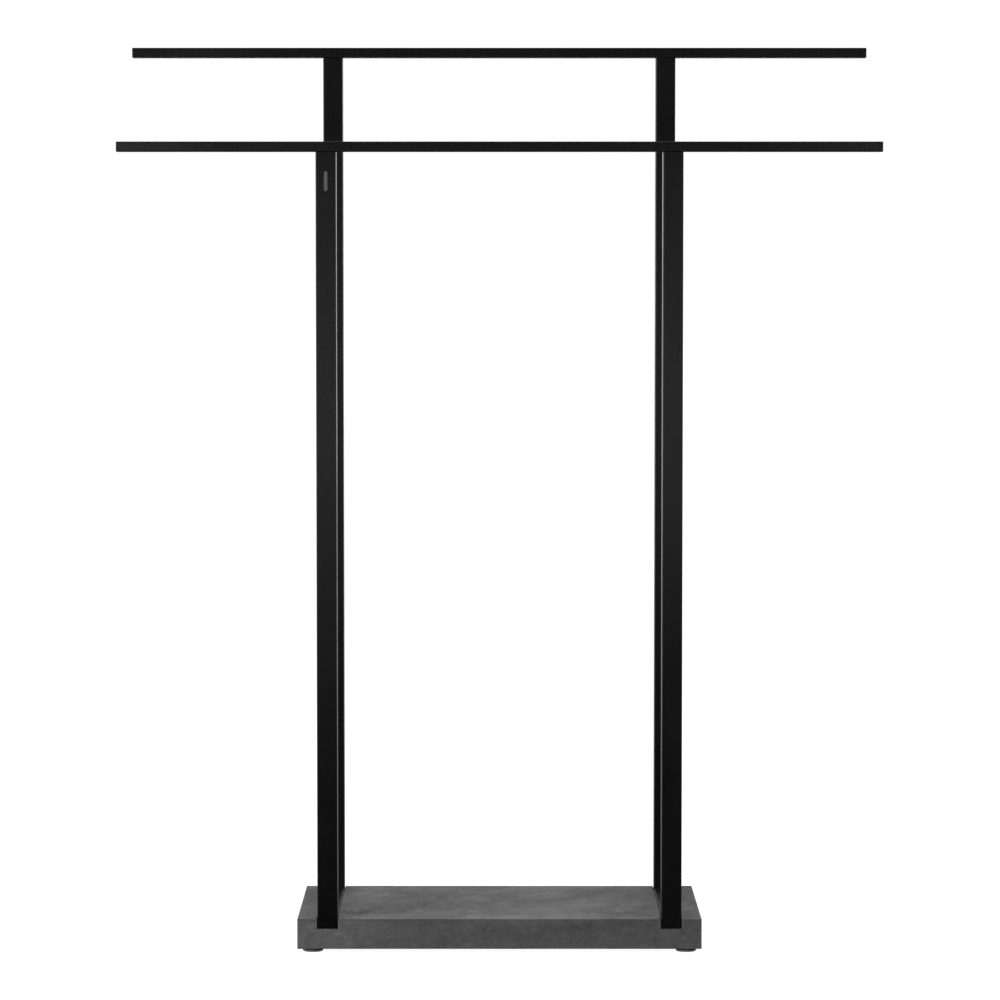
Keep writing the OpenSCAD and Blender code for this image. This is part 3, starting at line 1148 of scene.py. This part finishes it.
def make_foot(node):
    """A turned rubber foot: tapered side, rounded lower rim and a slightly dished underside."""
    low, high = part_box(node)
    radius = (high.x - low.x) / 2
    height = high.z - low.z
    centre = ((low.x + high.x) / 2, (low.y + high.y) / 2, low.z)
    base = radius - FOOT_TAPER
    flat = base - FOOT_RIM
    profile = [
        (0, 0.25 * MM),
        (base * 0.45, 0.22 * MM),
        (flat - 1.4 * MM, 0.12 * MM),
        (flat - 0.6 * MM, 0.0),
    ]
    for step in range(FOOT_RIM_STEPS + 1):
        angle = math.pi / 2 * step / FOOT_RIM_STEPS
        profile.append((flat + FOOT_RIM * math.sin(angle), FOOT_RIM - FOOT_RIM * math.cos(angle)))
    profile += [
        (radius - 0.35 * FOOT_TAPER, height * 0.62),
        (radius - 0.02 * MM, height - 0.35 * MM),
        (radius - 0.10 * MM, height - 0.10 * MM),
        (radius - 0.35 * MM, height),
        (0, height),
    ]
    bm = bmesh.new()
    lathe(bm, profile, centre, segments=56)
    name = node + "_pad"
    make_piece(name, to_mesh(name, bm), RUBBER, [node], sharp_degrees=60.0)


for side in SIDES:
    for end in ENDS:
        make_foot(f"{side}_{end}_foot")


# ---------------------------------------------------------------- blank strip

STRIP_EDGE = 0.08 * MM
STRIP_STEPS = 16


def strip_outline(width, height, inset):
    """Points round an upright strip with round ends, as X and Z from its middle."""
    points = []
    radius = width / 2 - inset
    for half, way in ((0, 1), (1, -1)):
        end = (height / 2 - width / 2) * way
        for step in range(STRIP_STEPS + 1):
            angle = math.pi * half + math.pi * step / STRIP_STEPS
            points.append((radius * math.cos(angle), end + radius * math.sin(angle)))
    return points


def make_strip():
    """A plain thin strip with eased front edges."""
    name = "blank_strip_plate"
    low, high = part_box("blank_strip")
    width, height = high.x - low.x, high.z - low.z
    x, z = (low.x + high.x) / 2, (low.z + high.z) / 2
    ease = STRIP_EDGE * 0.3
    bm = bmesh.new()
    rings = []
    for y, inset in ((high.y, 0.0), (low.y + STRIP_EDGE, 0.0), (low.y + ease, ease), (low.y, STRIP_EDGE)):
        rings.append([bm.verts.new((x + u, y, z + v)) for u, v in strip_outline(width, height, inset)])
    join_rings(bm, rings)
    bm.faces.new(rings[0])
    bm.faces.new(rings[-1])
    make_piece(name, to_mesh(name, bm), STRIP, ["blank_strip"], sharp_degrees=40.0)


make_strip()


# ---------------------------------------------------------------- CAD nodes that stay as they are


def dress(node, material):
    """Gives a CAD node its procedural material."""
    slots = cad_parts[node].data.materials
    slots.clear()
    slots.append(material)


for side in SIDES:
    for end in ENDS:
        dress(f"{side}_{end}_plug", ZINC)
        dress(f"{end}_rail_{side}_spacer", ZINC)
dress("foot_adhesive_discs", FILM)


# ---------------------------------------------------------------- floor, light and camera


def make_floor():
    """A large round pale floor under the stand, lit evenly, so that only a trace of shadow shows on it."""
    bm = bmesh.new()
    bmesh.ops.create_circle(bm, cap_ends=True, radius=55.0, segments=96)
    mesh = bpy.data.meshes.new("floor")
    bm.to_mesh(mesh)
    bm.free()
    material, tree, shader = new_material("pale_floor")
    shader.inputs["Base Color"].default_value = (0.35, 0.35, 0.35, 1.0)
    shader.inputs["Roughness"].default_value = 0.9
    shader.inputs["Specular IOR Level"].default_value = 0.0
    shader.inputs["Emission Color"].default_value = (1.0, 1.0, 1.0, 1.0)
    shader.inputs["Emission Strength"].default_value = 0.95
    mesh.materials.append(material)
    floor = bpy.data.objects.new("floor", mesh)
    bpy.context.scene.collection.objects.link(floor)
    floor.visible_glossy = False
    floor.visible_diffuse = False


def make_world():
    """Soft light all round: a bright backdrop, a softer ceiling, and darkness in front and below."""
    world = bpy.data.worlds.new("studio")
    bpy.context.scene.world = world
    world.use_nodes = True
    tree = world.node_tree
    background = tree.nodes["Background"]
    direction = add_node(tree, "ShaderNodeTexCoord").outputs["Generated"]
    x, y, z = add_node(tree, "ShaderNodeSeparateXYZ", i0=direction).outputs
    behind = span(tree, y, -0.30, 0.30, 0.03, 1.15)
    sideways = maths(tree, "ABSOLUTE", x, 0.0)
    behind = maths(tree, "MULTIPLY", behind, span(tree, sideways, 0.60, 0.95, 1.0, 0.45))
    behind = maths(tree, "MULTIPLY", behind, span(tree, z, -0.22, 0.04, 0.12, 1.2))
    behind = maths(tree, "MULTIPLY", behind, span(tree, z, 0.30, 0.90, 1.0, 0.45))
    above = span(tree, z, 0.20, 0.85, 0.0, 0.24)
    light = maths(tree, "MAXIMUM", behind, above)
    camera_ray = add_node(tree, "ShaderNodeLightPath").outputs["Is Camera Ray"]
    tree.links.new(blend(tree, camera_ray, light, 1.05), background.inputs["Color"])
    background.inputs["Strength"].default_value = 1.0


def add_panel(name, where, target, size, watts):
    """A soft rectangular lamp that faces the target and isn't seen by the camera."""
    lamp = bpy.data.lights.new(name, "AREA")
    lamp.shape = "RECTANGLE"
    lamp.size, lamp.size_y = size
    lamp.energy = watts
    thing = bpy.data.objects.new(name, lamp)
    bpy.context.scene.collection.objects.link(thing)
    thing.location = where
    thing.rotation_mode = "QUATERNION"
    thing.rotation_quaternion = (Vector(target) - Vector(where)).to_track_quat("-Z", "Y")
    thing.visible_camera = False


def make_camera():
    """Square on from nearly four metres away, with a long lens, tilted a little downwards."""
    data = bpy.data.cameras.new("camera")
    data.sensor_width = 36.0
    data.lens = 140.2
    data.shift_x = 0.0059
    data.shift_y = -0.03
    data.clip_end = 200.0
    camera = bpy.data.objects.new("camera", data)
    bpy.context.scene.collection.objects.link(camera)
    camera.location = (-0.0053, -3.9164, 0.7008)
    camera.rotation_euler = (math.radians(90 - 3.334), 0.0, 0.0)
    bpy.context.scene.camera = camera


make_floor()
make_world()
add_panel("overhead", (0.0, 0.2, 2.6), (0.0, 0.0, 0.3), (2.4, 1.6), 3.0)
add_panel("left_front", (-2.1, -1.4, 0.8), (0.0, 0.0, 0.3), (1.0, 1.2), 33.0)
add_panel("right_front", (2.1, -1.4, 0.8), (0.0, 0.0, 0.3), (1.0, 1.2), 9.5)
add_panel("middle_front", (0.0, -1.3, 0.50), (0.0, 0.0, 0.50), (1.4, 0.36), 1.6)
add_panel("left_rail_end", (-0.43, -0.62, 0.80), (-0.38, -0.1, 0.80), (0.10, 0.10), 0.085)
add_panel("right_rail_end", (0.43, -0.62, 0.84), (0.38, -0.1, 0.84), (0.10, 0.10), 0.04)
make_camera()

view = bpy.context.scene.view_settings
view.view_transform = "Standard"
view.look = "None"
